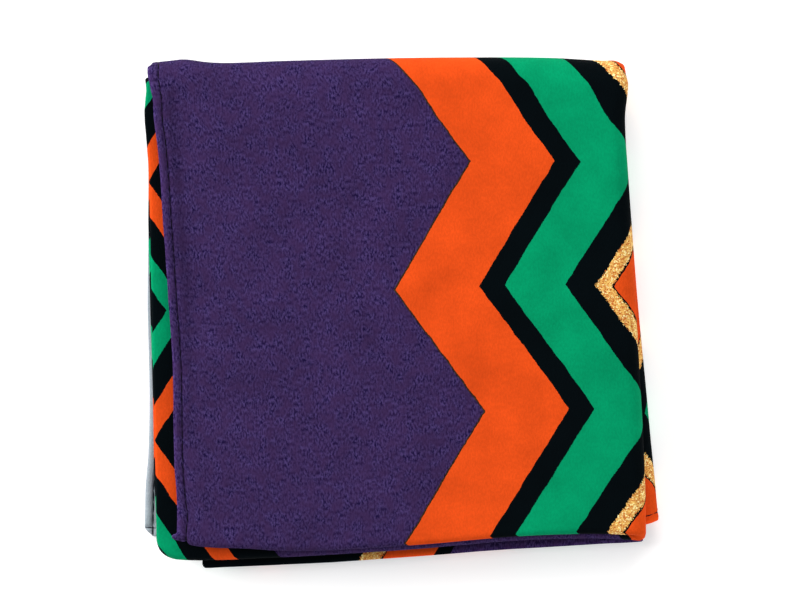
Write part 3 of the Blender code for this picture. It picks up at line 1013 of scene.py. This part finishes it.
class FUROSHIKI_OT_stitches(bpy.types.Operator):
    """Add the rows of stitches that hold the four hems, on both sides of the cloth"""

    bl_idname = "furoshiki.stitches"
    bl_label = "Hem Stitches"

    def execute(self, context):
        sewing = context.scene.furoshiki_stitches
        cloth = context.scene.furoshiki_cloth
        deselect()
        bpy.ops.mesh.primitive_uv_sphere_add(segments=sewing.sides, ring_count=5, radius=1.0)
        stitch = context.object
        stitch.name = "hem_stitches"
        stitch.data.transform(Matrix.Rotation(radians(90), 4, "Y"))
        stitch.data.transform(
            Matrix.Diagonal((sewing.length / 2, sewing.thread / 2, sewing.thread / 2, 1.0))
        )
        for vertex in stitch.data.vertices:
            vertex.co.z -= sewing.pull * (2 * vertex.co.x / sewing.length) ** 2

        rows = []
        for width, height, turn in (
            (CLOTH_WIDTH, CLOTH_HEIGHT, 0),
            (CLOTH_HEIGHT, CLOTH_WIDTH, 90),
            (CLOTH_WIDTH, CLOTH_HEIGHT, 180),
            (CLOTH_HEIGHT, CLOTH_WIDTH, 270),
        ):
            count = int(width / sewing.pitch)
            for side in (1, -1):
                deselect()
                stitch.select_set(True)
                context.view_layer.objects.active = stitch
                bpy.ops.object.duplicate()
                row = context.object
                bpy.ops.object.modifier_add(type="ARRAY")
                array = row.modifiers[-1]
                array.count = count
                array.use_relative_offset = False
                array.use_constant_offset = True
                array.constant_offset_displace = (width / count, 0, 0)
                bpy.ops.object.modifier_apply(modifier=array.name)
                row.data.transform(Matrix.Rotation(0 if side == 1 else pi, 4, "X"))
                first = (width / count - width) / 2
                place = (first, STITCH_LINE - height / 2, side * sewing.height)
                row.data.transform(Matrix.Translation(place))
                row.data.transform(Matrix.Rotation(radians(turn), 4, "Z"))
                row.data.transform(Matrix.Translation((CLOTH_WIDTH / 2, CLOTH_HEIGHT / 2, 0)))
                rows.append(row)
        deselect()
        bpy.data.objects.remove(stitch)
        for row in rows:
            row.select_set(True)
        context.view_layer.objects.active = rows[0]
        bpy.ops.object.join()
        piece = context.object
        piece.name = "hem_stitches"
        fold_mesh(piece, cloth)
        bpy.ops.object.shade_smooth()
        grain = bpy.data.node_groups["yarn grain"]
        piece.data.materials.append(thread_material(context.scene.furoshiki_print, grain))

        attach(piece, "root")
        return {"FINISHED"}


class FUROSHIKI_OT_stage(bpy.types.Operator):
    """Add the pale floor, the soft lights and the camera straight above"""

    bl_idname = "furoshiki.stage"
    bl_label = "Stage"

    PIXEL = 0.355 * MM  # real size of one of the photo's pixels at the cloth
    PHOTO_WIDTH = 800
    OFF_CENTRE = (1.55, 7.45)  # how far right and below the photo's middle the packet's middle is
    DISTANCE = 2.4
    SENSOR_WIDTH = 36.0
    FLOOR_WIDTH = 4.0
    FLOOR_GLOW = 0.34
    WORLD_LIGHT = 0.36
    # Each lamp's name, place, width and watts. All of them point at the packet.
    LAMPS = (
        ("key", (-1.55, 0.50, 0.95), 1.1, 35.0),
        ("top", (0.15, 1.55, 1.15), 1.1, 20.5),
        ("fill", (1.45, -0.95, 0.9), 1.2, 12.0),
    )

    def execute(self, context):
        deselect()
        bpy.ops.mesh.primitive_plane_add(size=self.FLOOR_WIDTH, location=(0, 0, 0))
        floor = context.object
        floor.name = "floor"
        material, _, shader = new_material("pale floor", 0.95)
        shader.inputs["Base Color"].default_value = (0.92, 0.92, 0.92, 1.0)
        shader.inputs["Specular IOR Level"].default_value = 0.1
        shader.inputs["Emission Color"].default_value = (1.0, 1.0, 1.0, 1.0)
        shader.inputs["Emission Strength"].default_value = self.FLOOR_GLOW
        floor.data.materials.append(material)

        for name, place, size, power in self.LAMPS:
            bpy.ops.object.light_add(type="AREA", location=place)
            light = context.object
            light.name = name
            light.data.size = size
            light.data.energy = power
            light.rotation_euler = (-Vector(place)).to_track_quat("-Z", "Y").to_euler()

        world = bpy.data.worlds.new("studio")
        world.use_nodes = True
        background = world.node_tree.nodes["Background"]
        background.inputs["Color"].default_value = (1.0, 1.0, 1.0, 1.0)
        background.inputs["Strength"].default_value = self.WORLD_LIGHT
        context.scene.world = world
        context.scene.view_settings.view_transform = "Standard"

        right, below = (pixels * self.PIXEL for pixels in self.OFF_CENTRE)
        bpy.ops.object.camera_add(location=(-right, below, self.DISTANCE), rotation=(0, 0, 0))
        camera = context.object
        camera.name = "camera"
        camera.data.sensor_width = self.SENSOR_WIDTH
        seen = self.PIXEL * self.PHOTO_WIDTH
        camera.data.lens = self.SENSOR_WIDTH * (self.DISTANCE - PACKET.height / 2) / seen
        context.scene.camera = camera
        return {"FINISHED"}


class FUROSHIKI_PT_panel(bpy.types.Panel):
    """The settings and the operators, in the sidebar"""

    bl_idname = "FUROSHIKI_PT_panel"
    bl_label = "Folded Furoshiki"
    bl_space_type = "VIEW_3D"
    bl_region_type = "UI"
    bl_category = "Furoshiki"

    def draw(self, context):
        for group in ("furoshiki_cloth", "furoshiki_stitches", "furoshiki_print"):
            settings = getattr(context.scene, group)
            box = self.layout.box()
            for name in settings.__annotations__:
                box.prop(settings, name)
        for operator in OPERATORS:
            self.layout.operator(operator.bl_idname)


SETTINGS = {
    "furoshiki_cloth": FuroshikiCloth,
    "furoshiki_stitches": FuroshikiStitches,
    "furoshiki_print": FuroshikiPrint,
}
OPERATORS = (FUROSHIKI_OT_cloth, FUROSHIKI_OT_stitches, FUROSHIKI_OT_stage)


def register():
    for cls in (*SETTINGS.values(), *OPERATORS, FUROSHIKI_PT_panel):
        bpy.utils.register_class(cls)
    for name, cls in SETTINGS.items():
        setattr(bpy.types.Scene, name, PointerProperty(type=cls))


def unregister():
    for name in SETTINGS:
        delattr(bpy.types.Scene, name)
    for cls in (FUROSHIKI_PT_panel, *OPERATORS, *SETTINGS.values()):
        bpy.utils.unregister_class(cls)


def main():
    register()
    bpy.ops.furoshiki.cloth()
    bpy.ops.furoshiki.stitches()
    bpy.ops.furoshiki.stage()


if __name__ == "__main__":
    main()
